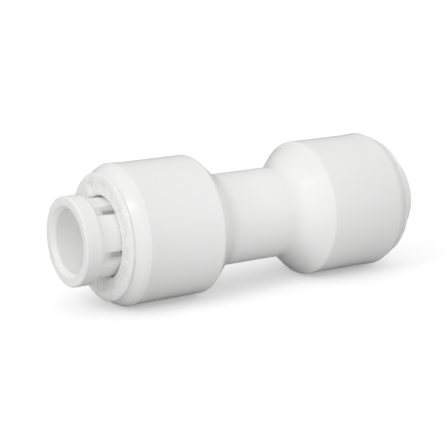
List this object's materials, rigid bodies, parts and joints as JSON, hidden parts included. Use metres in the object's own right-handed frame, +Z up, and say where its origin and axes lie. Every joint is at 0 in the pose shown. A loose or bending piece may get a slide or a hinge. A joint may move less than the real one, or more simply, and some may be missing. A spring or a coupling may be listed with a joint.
{
  "type": "push to connect tube union",
  "caption": "Straight push to connect union for plastic tube: a waisted white body with a sliding release collet in each capped end.",
  "frame": {"origin": "centre of the tube bore, midway between the two tube stops, which is within 0.12 mm of the centroid", "axes": "+X along the tube axis towards the end whose collet rests pushed in, +Z up, +Y completes the right-handed set"},
  "size_m": [0.0416, 0.0152, 0.0152],
  "materials": {
    "housing_plastic": "satin moulded white polypropylene",
    "cap_plastic": "fine matt moulded white plastic",
    "collet_plastic": "satin moulded white acetal",
    "spacer_plastic": "natural moulded plastic",
    "seal_rubber": "moulded black rubber",
    "tooth_steel": "stamped stainless steel"
  },
  "bodies": {
    "housing": {"union_body": "housing_plastic", "left_end_cap": "cap_plastic", "right_end_cap": "cap_plastic", "left_o_ring": "seal_rubber", "right_o_ring": "seal_rubber", "left_spacer_ring": "spacer_plastic", "right_spacer_ring": "spacer_plastic"},
    "left_release_collet": {"left_collet": "collet_plastic", "left_tooth_1": "tooth_steel", "left_tooth_2": "tooth_steel", "left_tooth_3": "tooth_steel", "left_tooth_4": "tooth_steel", "left_tooth_5": "tooth_steel"},
    "right_release_collet": {"right_collet": "collet_plastic", "right_tooth_1": "tooth_steel", "right_tooth_2": "tooth_steel", "right_tooth_3": "tooth_steel", "right_tooth_4": "tooth_steel", "right_tooth_5": "tooth_steel"}
  },
  "joints": [
    {"name": "left_collet_slide", "type": "slide", "parent": "housing", "child": "left_release_collet", "axis": [1, 0, 0], "range_m": [0, 0.00195]},
    {"name": "right_collet_slide", "type": "slide", "parent": "housing", "child": "right_release_collet", "axis": [1, 0, 0], "range_m": [0, 0.00195]}
  ]
}
